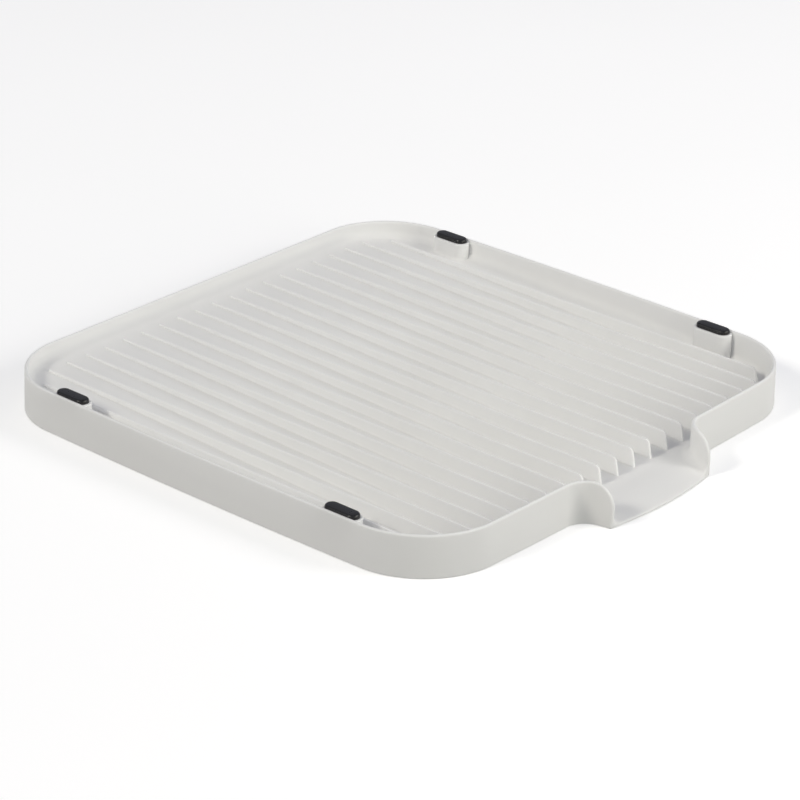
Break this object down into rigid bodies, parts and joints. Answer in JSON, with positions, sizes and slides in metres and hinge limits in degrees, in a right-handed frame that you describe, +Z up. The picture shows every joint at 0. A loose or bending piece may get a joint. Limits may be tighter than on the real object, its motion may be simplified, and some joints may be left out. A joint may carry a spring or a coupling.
{
  "type": "draining tray",
  "caption": "Square moulded draining tray with a ribbed sloping floor, a pouring spout in its front wall and rubber rest pads along its side walls.",
  "frame": {"origin": "middle of the footprint, spout included, on the surface that the tray stands on", "axes": "+Z up, -Y the side that the spout faces, +X to the right seen from the spout"},
  "size_m": [0.3556, 0.3714, 0.0278],
  "materials": {
    "tray_plastic": "satin moulded, fine texture",
    "pad_rubber": "matt moulded rubber"
  },
  "bodies": {
    "root": {"tray": "tray_plastic", "pad_front_left": "pad_rubber", "pad_front_right": "pad_rubber", "pad_back_left": "pad_rubber", "pad_back_right": "pad_rubber"}
  },
  "joints": []
}
